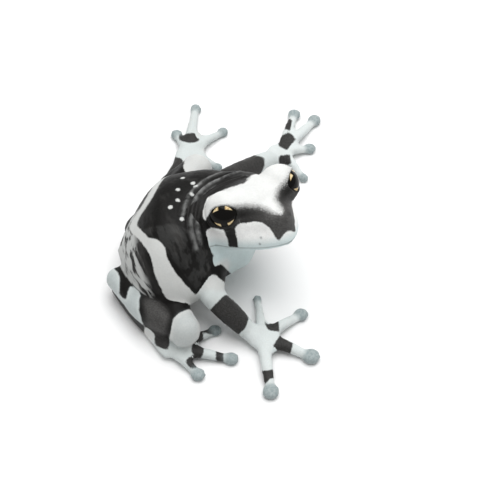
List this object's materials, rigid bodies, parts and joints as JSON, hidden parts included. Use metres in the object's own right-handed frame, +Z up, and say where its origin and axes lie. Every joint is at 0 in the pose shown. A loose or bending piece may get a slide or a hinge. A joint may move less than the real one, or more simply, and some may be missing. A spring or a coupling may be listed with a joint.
{
  "type": "amazon milk frog model",
  "caption": "Still, life-size model of a young amazon milk frog resting on spread toe pads, head raised and turned to its right.",
  "frame": {"origin": "on the floor, at the centre of the frog's bounding box seen from above", "axes": "the trunk faces -Y, +X is to the frog's left, +Z is up"},
  "size_m": [0.0702, 0.0398, 0.0251],
  "materials": {
    "skin_dark": "black-brown moist skin, soft sheen",
    "skin_pale": "blue-white moist skin, soft sheen",
    "eye_gloss": "wet, high gloss"
  },
  "bodies": {
    "root": {"head": "skin_pale", "lower_jaw": "skin_pale", "eye_right": "eye_gloss", "eye_left": "eye_gloss", "torso": "skin_dark", "upper_arm_right": "skin_dark", "forearm_right": "skin_dark", "hand_right": "skin_pale", "upper_arm_left": "skin_dark", "forearm_left": "skin_dark", "hand_left": "skin_pale", "thigh_right": "skin_dark", "shank_right": "skin_dark", "tarsus_right": "skin_dark", "foot_right": "skin_pale", "thigh_left": "skin_dark", "shank_left": "skin_dark", "tarsus_left": "skin_dark", "foot_left": "skin_pale"}
  },
  "joints": []
}
